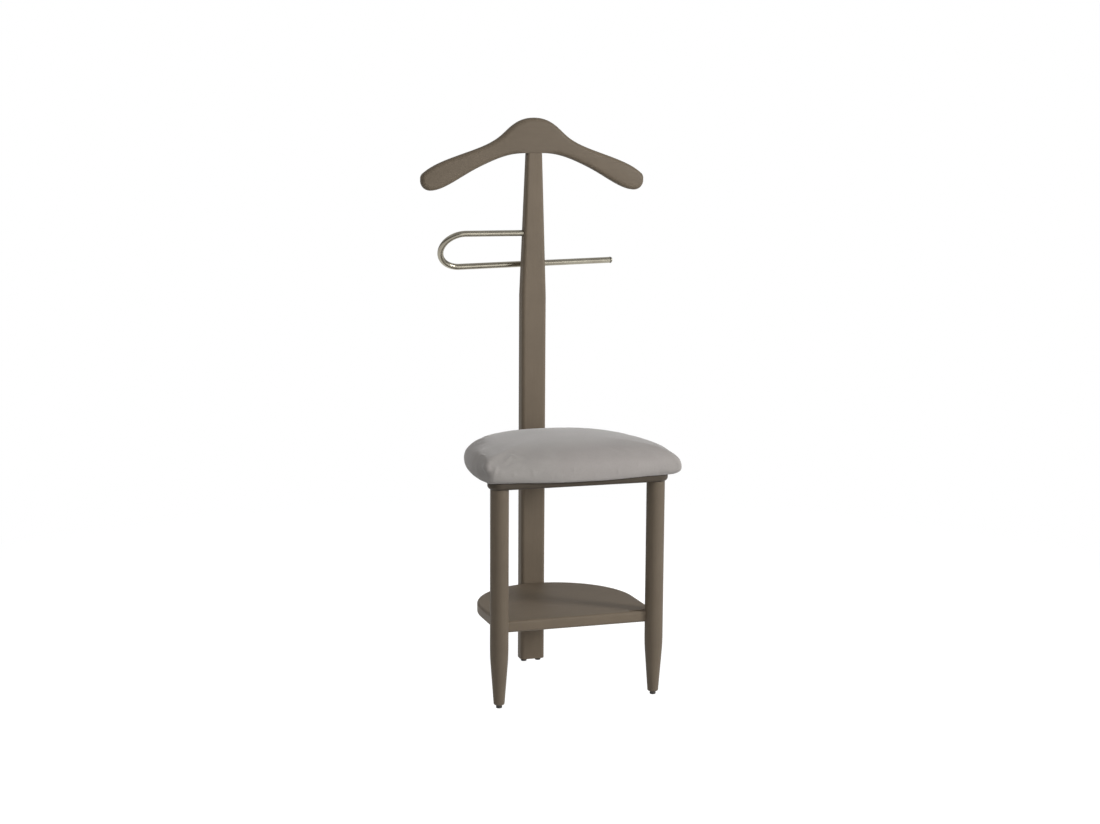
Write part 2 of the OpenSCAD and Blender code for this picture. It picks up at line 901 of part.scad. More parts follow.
// A half-round back and straight sides, cut flat where it butts against the post,
// and a straight front whose rounded edge runs from leg to leg.
module shelf_blank() {
    half = shelf_w / 2;
    butt = 1.5;
    round_y = post_setback + butt - half;
    translate([0, 0, shelf_z - shelf_t])
        intersection() {
            union() {
                translate([0, round_y, 0])
                    rotate_extrude()
                        shelf_half_section(half);
                translate([0, round_y, 0])
                    rotate([90, 0, 0])
                        linear_extrude(round_y + shelf_front + shelf_t) {
                            shelf_half_section(half);
                            mirror([1, 0])
                                shelf_half_section(half);
                        }
            }
            translate([-half - cut, post_setback, 0])
                rotate([90, 0, 90])
                    linear_extrude(shelf_w + 2 * cut)
                        mirror([1, 0])
                            shelf_half_section(post_setback + shelf_front);
        }
}

// The slot beside the right leg, open towards the leg and round at its inner end.
module shelf_slot() {
    y = slot_back - shelf_front;
    inner_x = leg_x - leg_d / 2 - slot_len + slot_w / 2;
    translate([inner_x, y, shelf_z - shelf_t - cut]) {
        cylinder(d = slot_w, h = shelf_t + 2 * cut);
        translate([0, -slot_w / 2, 0])
            cube([leg_x - inner_x, slot_w, shelf_t + 2 * cut]);
    }
}

module shelf_board()
    color(wood)
        place()
            difference() {
                shelf_blank();
                both_sides(leg_x)
                    translate([0, 0, shelf_z - shelf_t - cut])
                        cylinder(d = leg_d + 2 * fit_gap, h = shelf_t + 2 * cut);
                shelf_slot();
                both_legs()
                    shelf_dowel(2 * fit_gap);
                bolt_places()
                    sleeve_hole();
            }

// ---------- Feet ----------

module rear_foot_places()
    translate([0, post_mid, 0])
        both_sides(foot_x)
            children();

module insert_hole()
    translate([0, 0, foot_h - cut])
        cylinder(d = insert_d + 2 * fit_gap, h = max(insert_l, stem_l) + 1 + cut);

module foot_insert()
    translate([0, 0, foot_h])
        difference() {
            cylinder(d = insert_d, h = insert_l);
            translate([0, 0, -cut])
                cylinder(d = stem_d + 2 * thread_gap, h = insert_l + 2 * cut);
        }

module leg_inserts()
    color(zinc)
        place()
            both_sides(leg_x)
                foot_insert();

module post_inserts()
    color(zinc)
        place()
            rear_foot_places()
                foot_insert();

// A foot's pad: a slightly flared plastic button with a small bevel at the floor.
module pad_button() {
    bevel = 0.8;
    bore_h = 3.5;
    color(dark)
        difference() {
            rotate_extrude()
                polygon([
                    [0, 0],
                    [foot_d / 2 - bevel, 0],
                    [foot_d / 2, bevel],
                    [foot_top_d / 2, foot_h],
                    [0, foot_h]
                ]);
            translate([0, 0, foot_h - bore_h])
                cylinder(d = stem_d + 2 * fit_gap, h = bore_h + cut);
        }
}

// A foot's stem: moulded into the pad at its foot and threaded into the insert above.
module pad_stem() {
    sunk = 3.5;
    color(steel)
        translate([0, 0, foot_h - sunk])
            cylinder(d = stem_d, h = sunk + stem_l);
}

module at_front(side)
    place()
        translate([side * leg_x, 0, 0])
            children();

module at_rear(side)
    place()
        translate([side * foot_x, post_mid, 0])
            children();

hanger();
hanger_dowels();
post();
trouser_bar();
bar_end_ring();
bar_end_cap();
bar_lock_screw();
seat_cover();
seat_foam();
seat_board();
dust_cover();
seat_rail();
seat_cleat();
seat_screws();
left_leg();
right_leg();
leg_screws();
shelf_board();
shelf_dowels();
post_bolts();
bolt_sleeves();
leg_inserts();
post_inserts();
at_front(-1) pad_button();  // front_left_foot
at_front(1) pad_button();  // front_right_foot
at_rear(-1) pad_button();  // rear_left_foot
at_rear(1) pad_button();  // rear_right_foot
at_front(-1) pad_stem();  // front_left_stem
at_front(1) pad_stem();  // front_right_stem
at_rear(-1) pad_stem();  // rear_left_stem
at_rear(1) pad_stem();  // rear_right_stem
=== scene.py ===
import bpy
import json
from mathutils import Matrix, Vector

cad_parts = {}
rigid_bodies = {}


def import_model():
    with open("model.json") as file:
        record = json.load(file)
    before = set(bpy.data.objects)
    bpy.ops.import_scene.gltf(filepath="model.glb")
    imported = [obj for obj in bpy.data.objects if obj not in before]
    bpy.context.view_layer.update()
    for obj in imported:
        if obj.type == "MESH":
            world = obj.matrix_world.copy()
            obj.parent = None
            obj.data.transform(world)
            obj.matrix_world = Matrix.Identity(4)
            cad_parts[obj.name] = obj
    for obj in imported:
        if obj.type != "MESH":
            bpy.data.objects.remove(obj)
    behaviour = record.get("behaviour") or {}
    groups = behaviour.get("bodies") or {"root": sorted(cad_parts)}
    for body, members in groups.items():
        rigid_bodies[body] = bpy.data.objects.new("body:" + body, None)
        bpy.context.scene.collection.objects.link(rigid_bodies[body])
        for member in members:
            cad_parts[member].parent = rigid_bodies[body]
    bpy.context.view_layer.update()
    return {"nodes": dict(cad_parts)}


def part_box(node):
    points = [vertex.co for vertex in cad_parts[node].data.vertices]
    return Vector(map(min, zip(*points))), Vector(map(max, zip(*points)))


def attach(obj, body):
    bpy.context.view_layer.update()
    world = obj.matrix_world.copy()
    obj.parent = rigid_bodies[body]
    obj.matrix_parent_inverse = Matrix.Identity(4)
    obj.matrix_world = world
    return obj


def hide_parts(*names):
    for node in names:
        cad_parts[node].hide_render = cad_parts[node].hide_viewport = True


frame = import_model()

import json
import math

import bmesh
import bpy
import numpy as np
from mathutils import Matrix, Vector
from mathutils.bvhtree import BVHTree

# Clothes valet chair. Lengths are written in millimetres, as on the drawing, and turned to
# metres by mm(). Depths are from the front legs' centre line; the frame's middle is MIDDLE_Y.
MIDDLE_Y = 158.008      # depth of the footprint's middle
POST_FRONT = 277.0      # depth of the post's front face
SEAT_Z = 432.5          # height of the cushion's underside


def mm(x, y, z):
    """A point of the drawing, in the frame's metres."""
    return x / 1000, (y - MIDDLE_Y) / 1000, z / 1000


def srgb(red, green, blue):
    """A colour as it is seen, 0 to 255, in the shader's linear values."""
    def linear(c):
        c /= 255
        return c / 12.92 if c <= 0.04045 else ((c + 0.055) / 1.055) ** 2.4
    return linear(red), linear(green), linear(blue), 1.0


# ---------- Camera ----------

# The photograph's viewpoint: place in metres, angles in radians, lens and sensor in millimetres.
CAMERA_PLACE = (-1.163971, -3.523775, 1.101225)
CAMERA_YAW, CAMERA_PITCH, CAMERA_ROLL = 0.317595, 0.151634, 0.006201
LENS, SENSOR = 63.16, 36


def add_camera():
    """The camera, at the place and with the lens that were fitted to the photograph."""
    data = bpy.data.cameras.new("camera")
    data.lens = LENS
    data.sensor_width = SENSOR
    data.sensor_fit = "HORIZONTAL"
    data.clip_start, data.clip_end = 0.05, 60
    camera = bpy.data.objects.new("camera", data)
    bpy.context.scene.collection.objects.link(camera)
    turn = (
        Matrix.Rotation(-CAMERA_YAW, 4, "Z")
        @ Matrix.Rotation(math.pi / 2 - CAMERA_PITCH, 4, "X")
        @ Matrix.Rotation(CAMERA_ROLL, 4, "Z")
    )
    camera.matrix_world = Matrix.Translation(CAMERA_PLACE) @ turn
    bpy.context.scene.camera = camera


# ---------- Shader expressions ----------

class Signal:
    """An output socket of a node tree. Arithmetic on it adds Math nodes."""

    def __init__(self, tree, socket=None):
        self.tree, self.socket = tree, socket

    def node(self, kind, settings=None, values=None, output=0):
        """Adds any node: its settings first, then the values or links of its sockets."""
        made = self.tree.nodes.new(kind)
        for key, value in (settings or {}).items():
            setattr(made, key, value)
        for key, value in (values or {}).items():
            if isinstance(value, Signal):
                self.tree.links.new(value.socket, made.inputs[key])
            else:
                made.inputs[key].default_value = value
        return Signal(self.tree, made.outputs[output] if len(made.outputs) else None)

    def other(self, output):
        """Another output of the same node."""
        return Signal(self.tree, self.socket.node.outputs[output])

    def math(self, operation, *operands):
        """A Math node on values or signals."""
        return self.node("ShaderNodeMath", {"operation": operation}, dict(enumerate(operands)))

    def __add__(self, other):
        return self.math("ADD", self, other)

    __radd__ = __add__

    def __sub__(self, other):
        return self.math("SUBTRACT", self, other)

    def __rsub__(self, other):
        return self.math("SUBTRACT", other, self)

    def __mul__(self, other):
        return self.math("MULTIPLY", self, other)

    __rmul__ = __mul__

    def clamp(self, low, high):
        """The same value, kept between low and high."""
        return self.math("MINIMUM", self.math("MAXIMUM", self, low), high)

    def step(self, low, high, start=0.0, end=1.0):
        """Goes smoothly from start to end while this goes from low to high."""
        return self.node(
            "ShaderNodeMapRange", {"interpolation_type": "SMOOTHSTEP"},
            {"Value": self, "From Min": low, "From Max": high, "To Min": start, "To Max": end},
        )

    def noise(self, place, scale, detail, roughness):
        """Cloudy noise, 0 to 1, with scale patches to the metre."""
        return self.node(
            "ShaderNodeTexNoise", {},
            {"Vector": place, "Scale": scale, "Detail": detail, "Roughness": roughness},
        )

    def stretched(self, place, scale):
        """The same place, squeezed or stretched along each axis."""
        return self.node("ShaderNodeMapping", {}, {"Vector": place, "Scale": scale})

    def blend(self, share, low, high):
        """A colour between low and high."""
        return self.node(
            "ShaderNodeMix", {"data_type": "RGBA"}, {0: share, 6: low, 7: high}, output=2
        )

    def bump(self, height, depth):
        """The surface's normal over a relief that is depth metres deep."""
        return self.node(
            "ShaderNodeBump", {}, {"Height": height, "Distance": depth, "Strength": 1.0}
        )


def new_finish(name):
    """An empty material, the start of its expressions and its Object coordinates."""
    material = bpy.data.materials.new(name)
    material.use_nodes = True
    material.node_tree.nodes.clear()
    start = Signal(material.node_tree)
    return material, start, start.node("ShaderNodeTexCoord", output="Object")


def close_finish(material, start, values):
    """Ends a material in one Principled shader with these values and expressions."""
    shader = start.node("ShaderNodeBsdfPrincipled", {}, values)
    start.node("ShaderNodeOutputMaterial", {}, {"Surface": shader})
    return material


# ---------- Finishes ----------

TAUPE = (109, 97.5, 83)
SUEDE = (152, 148, 144)
# How the lacquer's grain is drawn out, on pieces whose wood lies or stands.
LYING, STANDING = (0.05, 1, 1), (1, 1, 0.05)


def toned(colour, share):
    """A colour made lighter or darker by a share."""
    return srgb(*(min(255, c * (1 + share)) for c in colour))


def taupe_lacquer(name, lengthwise, painted_shade_share=0.0):
    """Satin lacquer over fine-grained beech: faint lines of grain and pores along one axis. A share
    below zero darkens the whole colour as painted shade.
    """
    material, start, place = new_finish(name)
    taupe = tuple(c * (1 + painted_shade_share) for c in TAUPE)
    fibres = start.noise(start.stretched(place, lengthwise), 300, 3, 0.55)
    pores = start.noise(start.stretched(place, lengthwise), 1300, 1, 0.5).step(0.60, 0.72)
    clouds = start.noise(place, 16, 3, 0.55)
    orange_peel = start.noise(place, 380, 1, 0.5)
    tone = start.blend(clouds.step(0.3, 0.7), toned(taupe, -0.018), toned(taupe, 0.018))
    tone = start.blend(fibres.step(0.45, 0.75) * 0.5, tone, toned(taupe, -0.045))
    tone = start.blend(pores * 0.25, tone, toned(taupe, -0.10))
    height = fibres * 0.5 + orange_peel * 0.25 - pores * 0.5
    return close_finish(material, start, {
        "Base Color": tone,
        "Roughness": 0.46 + 0.08 * clouds + 0.06 * fibres,
        "Normal": start.bump(height, 0.00002),
        "Specular IOR Level": 0.20,
    })


def satin_nickel(name):
    """Satin nickel plating, with faint polishing lines and a few softer patches."""
    material, start, place = new_finish(name)
    lines = start.noise(start.stretched(place, (0.03, 1, 1)), 1100, 2, 0.6)
    clouds = start.noise(place, 45, 2, 0.5)
    tone = start.blend(clouds.step(0.3, 0.7), srgb(150, 144, 130), srgb(162, 157, 142))
    return close_finish(material, start, {
        "Base Color": tone,
        "Metallic": 1.0,
        "Roughness": 0.22 + 0.06 * lines + 0.05 * clouds,
        "Normal": start.bump(lines, 0.000001),
    })


def bright_steel(name, colour, rough):
    """Plated steel of screws and bolts, with fine turning marks."""
    material, start, place = new_finish(name)
    marks = start.noise(start.stretched(place, (1, 1, 0.2)), 1800, 2, 0.6)
    clouds = start.noise(place, 90, 3, 0.5)
    tone = start.blend(clouds.step(0.3, 0.7), toned(colour, -0.07), toned(colour, 0.03))
    return close_finish(material, start, {
        "Base Color": tone,
        "Metallic": 1.0,
        "Roughness": rough + 0.12 * marks + 0.08 * clouds,
        "Normal": start.bump(marks, 0.00002),
    })


def grey_suede(name):
    """Short-napped suede cloth: fine fibres, and patches where the nap lies another way."""
    material, start, place = new_finish(name)
    fibres = start.noise(place, 1900, 3, 0.65)
    speckle = start.noise(place, 520, 2, 0.6)
    nap = start.noise(start.stretched(place, (1, 0.7, 1.3)), 26, 4, 0.6)
    brushed = start.noise(place, 7, 2, 0.5)
    tone = start.blend(nap.step(0.35, 0.65), toned(SUEDE, -0.022), toned(SUEDE, 0.018))
    tone = start.blend(brushed.step(0.35, 0.65) * 0.6, tone, srgb(156, 150, 147))
    tone = start.blend(speckle.step(0.5, 0.75) * 0.5, tone, toned(SUEDE, -0.07))
    tone = start.blend(fibres.step(0.55, 0.75) * 0.5, tone, toned(SUEDE, 0.06))
    return close_finish(material, start, {
        "Base Color": tone,
        "Roughness": 0.82 + 0.12 * nap,
        "Normal": start.bump(fibres * 0.6 + speckle * 0.6 + nap * 0.8, 0.00035),
        "Sheen Weight": 0.32,
        "Sheen Roughness": 0.45,
        "Specular IOR Level": 0.15,
    })


def dark_plastic(name):
    """Moulded black plastic with a fine spark-eroded grain."""
    material, start, place = new_finish(name)
    grain = start.noise(place, 1600, 2, 0.6)
    clouds = start.noise(place, 60, 2, 0.5)
    tone = start.blend(clouds.step(0.3, 0.7), srgb(44, 41, 37), srgb(58, 54, 49))
    return close_finish(material, start, {
        "Base Color": tone,
        "Roughness": 0.48 + 0.12 * grain,
        "Normal": start.bump(grain, 0.00006),
    })


def bonded_dust_cloth(name):
    """Black non-woven cloth, bonded in a small square pattern of pin points."""
    material, start, place = new_finish(name)
    fibres = start.noise(start.stretched(place, (1, 0.35, 1)), 900, 4, 0.7)
    bonds = start.node(
        "ShaderNodeTexVoronoi", {"feature": "F1"},
        {"Vector": place, "Scale": 620, "Randomness": 0.15},
    ).step(0.12, 0.3)
    tone = start.blend(fibres, srgb(30, 29, 28), srgb(62, 60, 58))
    return close_finish(material, start, {
        "Base Color": tone,
        "Roughness": 0.9 - 0.2 * (1 - bonds),
        "Normal": start.bump(bonds * 0.7 + fibres * 0.3, 0.0002),
        "Sheen Weight": 0.2,
    })


def bare_beech(name):
    """Unfinished beech and beech plywood: flecks and lines of grain."""
    material, start, place = new_finish(name)
    grain = start.noise(start.stretched(place, (0.08, 1, 1)), 300, 4, 0.6)
    flecks = start.noise(start.stretched(place, (0.2, 1, 1)), 1100, 1, 0.5).step(0.6, 0.7)
    tone = start.blend(grain, srgb(196, 160, 118), srgb(222, 190, 148))
    tone = start.blend(flecks * 0.5, tone, srgb(160, 118, 80))
    return close_finish(material, start, {
        "Base Color": tone,
        "Roughness": 0.6 + 0.15 * grain,
        "Normal": start.bump(grain - flecks * 0.4, 0.0001),
    })


def cut_foam(name):
    """Open-celled seat foam."""
    material, start, place = new_finish(name)
    cells = start.node(
        "ShaderNodeTexVoronoi", {"feature": "F1"}, {"Vector": place, "Scale": 700}
    )
    tone = start.blend(cells.step(0.1, 0.8), srgb(196, 184, 140), srgb(232, 222, 184))
    return close_finish(material, start, {
        "Base Color": tone,
        "Roughness": 0.85 + 0.1 * cells,
        "Normal": start.bump(cells, 0.0005),
    })


# ---------- Mesh helpers ----------

def shade_smooth(mesh, sharp_above=None):
    """Shades a mesh smooth, but for edges that are bent by more than an angle."""
    mesh.polygons.foreach_set("use_smooth", [True] * len(mesh.polygons))
    if sharp_above:
        mesh.set_sharp_from_angle(angle=math.radians(sharp_above))


def piece_from(name, points, faces, material):
    """A smooth mesh piece at the origin, from points in metres."""
    mesh = bpy.data.meshes.new(name)
    mesh.from_pydata([tuple(p) for p in points], [], faces)
    mesh.validate()
    mesh.update()
    piece = bpy.data.objects.new(name, mesh)
    bpy.context.scene.collection.objects.link(piece)
    mesh.materials.append(material)
    shade_smooth(mesh)
    return piece


SAME_POINT = 1e-6       # metres; points closer than this are one


def outward(piece):
    """Turns every face of a closed piece outwards."""
    build = bmesh.new()
    build.from_mesh(piece.data)
    bmesh.ops.remove_doubles(build, verts=build.verts, dist=SAME_POINT)
    bmesh.ops.recalc_face_normals(build, faces=build.faces)
    build.to_mesh(piece.data)
    build.free()


def skinned(rings):
    """Points and faces of a closed skin over rings that all have the same number of points."""
    count = len(rings[0])
    points = [p for ring in rings for p in ring]
    faces = []
    for k in range(len(rings) - 1):
        for i in range(count):
            j = (i + 1) % count
            faces.append((k * count + i, (k + 1) * count + i, (k + 1) * count + j, k * count + j))
    faces.append(tuple(range(count)))
    faces.append(tuple((len(rings) - 1) * count + i for i in reversed(range(count))))
    return points, faces


def eased(share, height=1.0):
    """A smooth climb from 0 to height while share goes from 0 to 1."""
    return height * share * share * (3 - 2 * share)


def arc(centre, radius, start, end, steps):
    """Points along an arc, from one angle in degrees up to, but without, the other."""
    for i in range(steps):
        a = math.radians(start + (end - start) * i / steps)
        yield np.array([centre[0] + radius * math.cos(a), centre[1] + radius * math.sin(a)])


# ---------- Hanger ----------

TOTAL_H = 1100.0
CROWN_H = 69.0          # from the arched underside to the crown
HANGER_W, HANGER_T = 460.0, 22.0
HANGER_EDGE = 9.0       # radius of the rounded long edges
# Guide points: distance from the middle, drop below the crown, and heading in degrees.
SHOULDER = (64.6, 32.8, -41.0)
ARM = (152.0, 72.8, -19.0)
UNDER = (111.6, 95.8, 180 - 25.3)
TIP_DROP, TIP_R, TIP_START = 122.5, 19.0, 50.0
TIP_CORNER_R, TIP_CORNER_RISE = 13.0, 4.5
POST_TOP_W = 30.4
# The underside's edge is nearly sharp over the post, and rounds off over this length beside it.
SEAT_EDGE, SEAT_FADE = 1.3, 30.0
OUTLINE_DETAIL, EDGE_STEPS = 4, 9
SHARP_EDGE = 40         # degrees; edges bent by more stay sharp


def sweep(p, p_dir, q, q_dir, reach_p, reach_q, steps):
    """Points along a curve that leaves p heading at one angle and reaches q heading at another."""
    p, q = np.array(p, float), np.array(q, float)
    d = np.linalg.norm(q - p)
    a, b = math.radians(p_dir), math.radians(q_dir)
    pull = p + reach_p * d * np.array([math.cos(a), math.sin(a)])
    push = q - reach_q * d * np.array([math.cos(b), math.sin(b)])
    for i in range(steps):
        t = i / steps
        yield ((1 - t) ** 3 * p + 3 * t * (1 - t) ** 2 * pull
               + 3 * t * t * (1 - t) * push + t ** 3 * q)


def hanger_outline(fine):
    """The hanger's outline, seen from the front, with fine times the drawing's points."""
    def guide(x, drop, _):
        return x, TOTAL_H - drop
    tip = (HANGER_W / 2 - TIP_R, TOTAL_H - TIP_DROP)
    corner = (HANGER_W / 2 - TIP_CORNER_R, TOTAL_H - TIP_DROP + TIP_CORNER_RISE)
    a = math.radians(TIP_START)
    tip_top = (corner[0] + TIP_CORNER_R * math.cos(a), corner[1] + TIP_CORNER_R * math.sin(a))
    tip_low = (tip[0], tip[1] - TIP_R)
    neck = (POST_TOP_W / 2, TOTAL_H - CROWN_H)
    half = [
        *sweep((0, TOTAL_H), 0, guide(*SHOULDER), SHOULDER[2], 0.45, 0.3, 8 * fine),
        *sweep(guide(*SHOULDER), SHOULDER[2], guide(*ARM), ARM[2], 0.3, 0.4, 7 * fine),
        *sweep(guide(*ARM), ARM[2], tip_top, TIP_START - 90, 0.4, 0.3, 7 * fine),
        *arc(corner, TIP_CORNER_R, TIP_START, 0, 4 * fine),
        *arc(tip, TIP_R, 0, -90, 6 * fine),
        *sweep(tip_low, 180, guide(*UNDER), UNDER[2], 0.25, 0.4, 7 * fine),
        *sweep(guide(*UNDER), UNDER[2], neck, 180, 0.4, 0.35, 7 * fine),
        np.array(neck),
    ]
    return np.array(half + [p * (-1, 1) for p in reversed(half[1:])])


def add_hanger(material):
    """The hanger: a stack of outlines from its front to its back, with rounded long edges."""
    outline = hanger_outline(OUTLINE_DETAIL)
    ahead, behind = np.roll(outline, -1, axis=0), np.roll(outline, 1, axis=0)
    d = ahead - behind
    normal = np.stack([-d[:, 1], d[:, 0]], axis=1) / np.linalg.norm(d, axis=1)[:, None]
    under = (outline[:, 1] < TOTAL_H - CROWN_H + 1) & (abs(outline[:, 0]) < UNDER[0])
    share = eased(np.clip((abs(outline[:, 0]) - POST_TOP_W / 2) / SEAT_FADE, 0, 1))
    radius = np.where(under, SEAT_EDGE + (HANGER_EDGE - SEAT_EDGE) * share, HANGER_EDGE)
    middle = POST_FRONT + HANGER_T / 2
    rings = []
    quarter = [90 * i / EDGE_STEPS for i in range(EDGE_STEPS + 1)]
    for side, angles in ((-1, quarter), (1, [a + 90 for a in quarter])):
        for a in angles:
            s, c = math.sin(math.radians(a)), math.cos(math.radians(a))
            place = outline - (radius * (1 - s))[:, None] * normal
            y = middle + (HANGER_T / 2 - radius) * side - radius * c
            rings.append([mm(p[0], yy, p[1]) for p, yy in zip(place, y)])
    points, faces = skinned(rings)
    hanger = piece_from("hanger_shaped", points, faces, material)
    outward(hanger)
    shade_smooth(hanger.data, SHARP_EDGE)
    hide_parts("hanger")
    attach(hanger, "frame")


# ---------- Geometry Nodes ----------

class Rule:
    """A Geometry Nodes tree under construction, with named inputs for its sizes."""

    def __init__(self, name, inputs):
        self.tree = bpy.data.node_groups.new(name, "GeometryNodeTree")
        self.ids = {}
        sockets = self.tree.interface
        sockets.new_socket("Geometry", in_out="INPUT", socket_type="NodeSocketGeometry")
        for key, value in inputs.items():
            kind = "NodeSocketInt" if isinstance(value, int) else "NodeSocketFloat"
            made = sockets.new_socket(key, in_out="INPUT", socket_type=kind)
            made.default_value = value
            self.ids[key] = made.identifier
        sockets.new_socket("Geometry", in_out="OUTPUT", socket_type="NodeSocketGeometry")
        self.given = self.tree.nodes.new("NodeGroupInput")

    def node(self, kind, settings=None, links=None, output=0):
        """Adds a node. Its sockets get values, other nodes' outputs or the names of inputs."""
        made = self.tree.nodes.new(kind)
        for key, value in (settings or {}).items():
            setattr(made, key, value)
        for key, value in (links or {}).items():
            if isinstance(value, str):
                value = self.given.outputs[value]
            if isinstance(value, bpy.types.NodeSocket):
                self.tree.links.new(value, made.inputs[key])
            else:
                made.inputs[key].default_value = value
        return made.outputs[output]

    def close(self, source, material):
        """Ends the tree in real geometry with a material."""
        self.material = material
        real = self.node("GeometryNodeRealizeInstances", {}, {"Geometry": source})
        dressed = self.node("GeometryNodeSetMaterial", {}, {"Geometry": real, "Material": material})
        out = self.tree.nodes.new("NodeGroupOutput")
        self.tree.links.new(dressed, out.inputs[0])

    def piece(self, name, base=None, **sizes):
        """The tree's result as a plain piece, with its own sizes."""
        mesh = base or bpy.data.meshes.new(name + "_base")
        holder = bpy.data.objects.new(name, mesh)
        bpy.context.scene.collection.objects.link(holder)
        modifier = holder.modifiers.new("rule", "NODES")
        modifier.node_group = self.tree
        for key, value in sizes.items():
            modifier[self.ids[key]] = value
        holder.update_tag()
        graph = bpy.context.evaluated_depsgraph_get()
        made = bpy.data.meshes.new_from_object(holder.evaluated_get(graph), depsgraph=graph)
        holder.modifiers.remove(modifier)
        holder.data = made
        made.name = name
        if not made.materials:
            made.materials.append(self.material)
        return holder


# ---------- Trouser bar ----------

BAR_D, BEND_R = 12.0, 44.0
BAR_DROP, BAR_REACH = 226.0, 188.0      # below the crown, and left of the middle
BAR_TILT, BAR_CLOSE = 38.5, 2.1         # degrees: the loop's lean, and how far its runs close
BAR_FREE, BAR_PLUG = 316.0, 22.0        # length of the lower run, and depth in the post
PLUG_STEPS, BEND_STEPS, RUN_STEPS, TUBE_SIDES = 40, 120, 60, 48
# The post's width and thickness, its thickness at the top, and the length of its taper.
POST_W, POST_T, POST_TOP_T, TAPER_L = 50.0, 30.0, 22.0, 281.0


def bar_path():
    """The tube's centreline, from inside the post, round the bend, to the free end."""
    height = TOTAL_H - BAR_DROP
    post_top = TOTAL_H - CROWN_H
    done = min(1, max(0, (height - post_top + TAPER_L) / TAPER_L))
    side_x = -(POST_W + (POST_TOP_W - POST_W) * done) / 2
    entry_y = POST_FRONT + (POST_T + (POST_TOP_T - POST_T) * done) / 2
    tilt, close = math.radians(BAR_TILT), math.radians(BAR_CLOSE)
    centre = np.array([
        -(BAR_REACH - BEND_R - BAR_D / 2),
        entry_y + BEND_R * math.sin(tilt),
        height - BEND_R * math.cos(tilt),
    ])
    across = np.array([1.0, 0, 0])
    up = np.array([0, -math.sin(tilt), math.cos(tilt)])
    upper = side_x - centre[0] + BAR_PLUG
    flat = [(upper * (1 - i / PLUG_STEPS), BEND_R) for i in range(PLUG_STEPS)]
    flat += [tuple(p) for p in arc((0, 0), BEND_R, 90, 270 + BAR_CLOSE, BEND_STEPS)]
    for i in range(RUN_STEPS + 1):
        run = BAR_FREE * i / RUN_STEPS
        flat.append((
            run * math.cos(close) + BEND_R * math.sin(close),
            run * math.sin(close) - BEND_R * math.cos(close),
        ))
    return [centre + u * across + v * up for u, v in flat]


def add_trouser_bar(material):
    """The bent tube, round in section along its path."""
    path = bar_path()
    mesh = bpy.data.meshes.new("bar_path")
    edges = [(i, i + 1) for i in range(len(path) - 1)]
    mesh.from_pydata([mm(*p) for p in path], edges, [])
    rule = Rule("tube_along_path", {"Radius": 0.001, "Sides": 12})
    line = rule.node("GeometryNodeMeshToCurve", {}, {0: "Geometry"})
    ring = rule.node(
        "GeometryNodeCurvePrimitiveCircle", {}, {"Resolution": "Sides", "Radius": "Radius"}
    )
    tube = rule.node(
        "GeometryNodeCurveToMesh", {}, {"Curve": line, "Profile Curve": ring, "Fill Caps": True}
    )
    rule.close(tube, material)
    bar = rule.piece("trouser_bar_tube", base=mesh, Radius=BAR_D / 2000, Sides=TUBE_SIDES)
    outward(bar)
    shade_smooth(bar.data, SHARP_EDGE)
    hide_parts("trouser_bar")
    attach(bar, "frame")


# ---------- Threads of the feet ----------

STEM_D, THREAD_PITCH, THREAD_DEPTH = 6.0, 1.0, 0.45
THREAD_EDGE = 50        # degrees; the ridge's edges are rolled round below this


def add_threads(material):
    """Each foot's stem, with a rolled thread: a core and a helical ridge."""
    rule = Rule("rolled_thread", {"Radius": 0.003, "Depth": 0.0004, "Pitch": 0.001,
                                  "Length": 0.02, "Turns": 10.0, "X": 0.0, "Y": 0.0, "Z": 0.0})
    core_r = rule.node("ShaderNodeMath", {"operation": "SUBTRACT"}, {0: "Radius", 1: "Depth"})
    half = rule.node("ShaderNodeMath", {"operation": "MULTIPLY"}, {0: "Length", 1: 0.5})
    lift = rule.node("ShaderNodeCombineXYZ", {}, {"Z": half})
    core = rule.node(
        "GeometryNodeMeshCylinder", {}, {"Vertices": 32, "Radius": core_r, "Depth": "Length"}
    )
    core = rule.node("GeometryNodeTransform", {}, {"Geometry": core, "Translation": lift})
    run = rule.node("ShaderNodeMath", {"operation": "MULTIPLY"}, {0: "Turns", 1: "Pitch"})
    spiral = rule.node("GeometryNodeCurveSpiral", {}, {
        "Resolution": 24, "Rotations": "Turns", "Start Radius": core_r,
        "End Radius": core_r, "Height": run, "Reverse": False,
    })
    margin = rule.node("ShaderNodeCombineXYZ", {}, {"Z": "Pitch"})
    spiral = rule.node("GeometryNodeTransform", {}, {"Geometry": spiral, "Translation": margin})
    ridge = rule.node(
        "GeometryNodeCurvePrimitiveCircle", {}, {"Resolution": 6, "Radius": "Depth"}
    )
    ridge = rule.node("GeometryNodeCurveToMesh", {}, {
        "Curve": spiral, "Profile Curve": ridge, "Fill Caps": True,
    })
    joined = rule.tree.nodes.new("GeometryNodeJoinGeometry")
    rule.tree.links.new(core, joined.inputs[0])
    rule.tree.links.new(ridge, joined.inputs[0])
    place = rule.node("ShaderNodeCombineXYZ", {}, {"X": "X", "Y": "Y", "Z": "Z"})
    moved = rule.node(
        "GeometryNodeTransform", {}, {"Geometry": joined.outputs[0], "Translation": place}
    )
    rule.close(moved, material)
    pitch = THREAD_PITCH / 1000
    for foot in ("front_left", "front_right", "rear_left", "rear_right"):
        low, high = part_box(foot + "_stem")
        length = high.z - low.z
        stem = rule.piece(
            foot + "_thread", Radius=STEM_D / 2000, Depth=THREAD_DEPTH / 1000, Pitch=pitch,
            Length=length, Turns=length / pitch - 2,
            X=(low.x + high.x) / 2, Y=(low.y + high.y) / 2, Z=low.z,
        )
        shade_smooth(stem.data, THREAD_EDGE)
        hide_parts(foot + "_stem")
        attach(stem, foot + "_glide")


# ---------- Staples ----------

